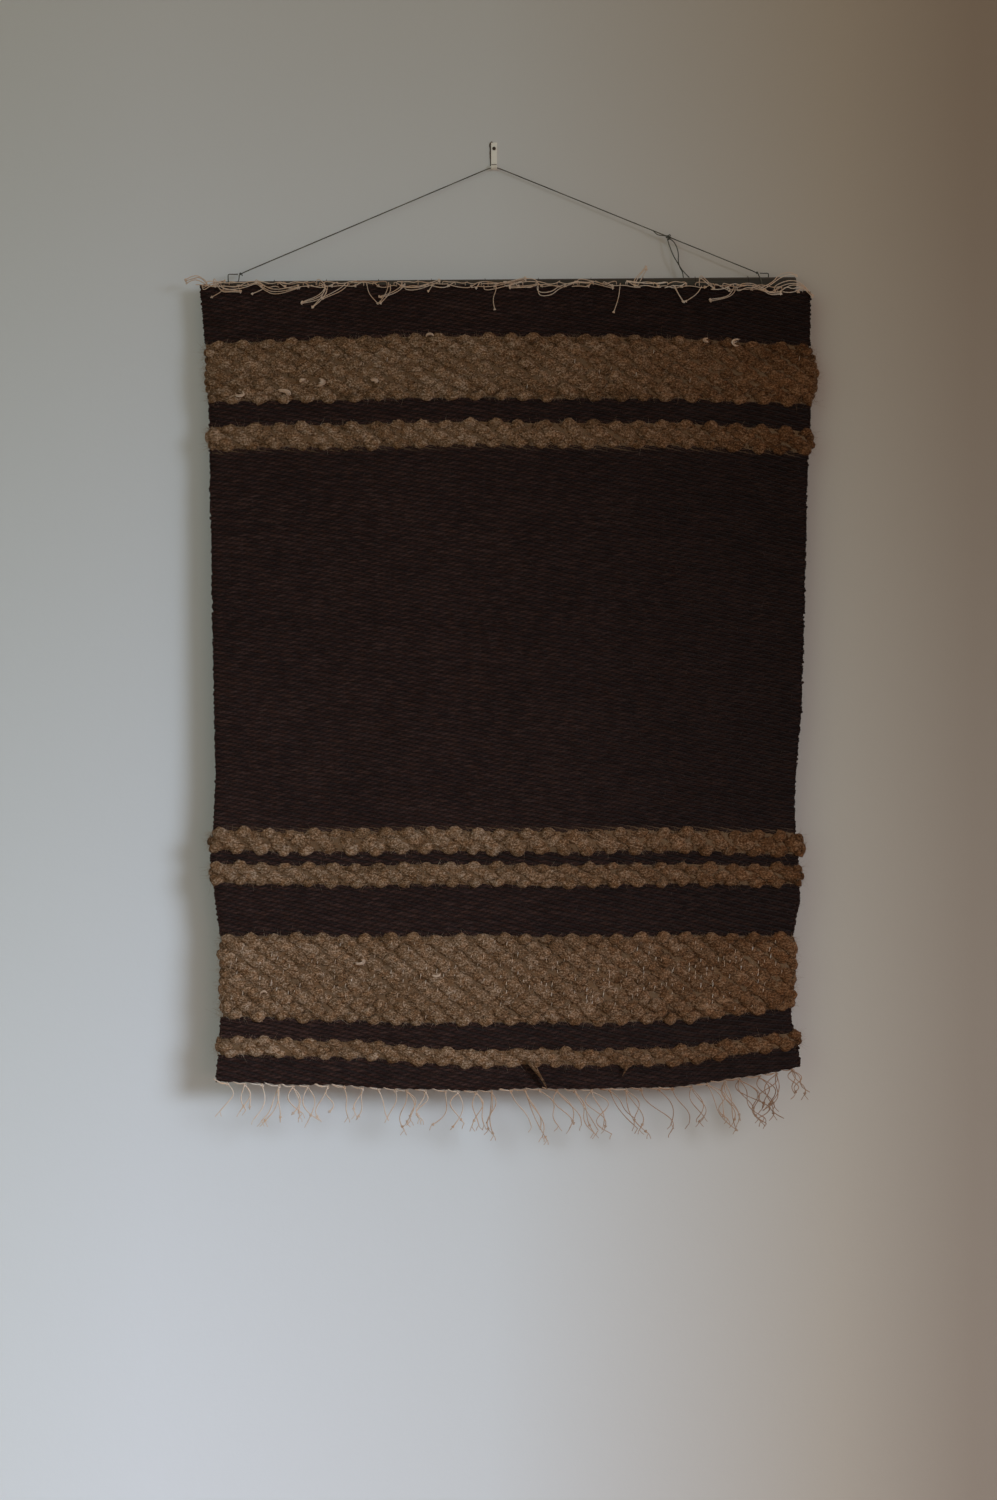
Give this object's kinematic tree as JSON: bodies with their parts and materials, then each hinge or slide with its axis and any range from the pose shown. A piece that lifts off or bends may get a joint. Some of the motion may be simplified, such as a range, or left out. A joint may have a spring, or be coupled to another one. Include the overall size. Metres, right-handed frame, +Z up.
{
  "type": "tapestry wall hanging",
  "caption": "Handwoven dark wool wall hanging with chunky roving bands and knotted fringes, on a wooden rod hung by a thread from a strip hook.",
  "frame": {"origin": "the axis of the hook's nail at the wall plane, which is the back face of the hook", "axes": "+Z up, +X to the viewer's right, +Y into the wall along the nail, so the cloth faces -Y"},
  "size_m": [0.5401, 0.0608, 0.8702],
  "materials": {
    "strip_paint": "off-white wall paint over a bent steel strip",
    "nail_steel": "darkened steel",
    "thread": "dark waxed twisted thread",
    "rod_wood": "dark stained dowel, satin",
    "brown_wool": "dark brown weft-faced wool, matt and slightly hairy",
    "camel_wool": "undyed camel-brown roving, thick, soft and fuzzy",
    "linen": "pale linen warp ends, twisted and knotted"
  },
  "bodies": {
    "wall_hook": {"hook_plate": "strip_paint", "hook_nail": "nail_steel"},
    "cord_top": {"cord_bight": "thread"},
    "hanger": {"cord_left": "thread", "cord_right_upper": "thread", "cord_knot": "thread", "cord_right_lower": "thread", "cord_hitch_left": "thread", "cord_hitch_right": "thread", "cord_tail_long": "thread", "cord_tail_short": "thread", "hanging_rod": "rod_wood"},
    "textile": {"rod_lashing": "thread", "brown_ground_1": "brown_wool", "wool_band_1": "camel_wool", "brown_ground_2": "brown_wool", "wool_band_2": "camel_wool", "brown_ground_3": "brown_wool", "wool_band_3": "camel_wool", "brown_ground_4": "brown_wool", "wool_band_4": "camel_wool", "brown_ground_5": "brown_wool", "wool_band_5": "camel_wool", "brown_ground_6": "brown_wool", "wool_band_6": "camel_wool", "brown_ground_7": "brown_wool", "top_knots": "linen", "top_fringe": "linen", "bottom_fringe": "linen", "wool_tail": "camel_wool"}
  },
  "joints": [
    {"name": "lift_off", "type": "slide", "parent": "wall_hook", "child": "cord_top", "axis": [0, 0, 1], "range_m": [0, 0.012]},
    {"name": "level_swing", "type": "hinge", "parent": "cord_top", "child": "hanger", "pos_m": [0, -0.0025, -0.01715], "axis": [0, 1, 0], "range_deg": [-6, 6]},
    {"name": "textile_swing", "type": "hinge", "parent": "hanger", "child": "textile", "pos_m": [0, -0.008, -0.1218], "axis": [-1, 0, -0.008], "range_deg": [0, 60]}
  ]
}
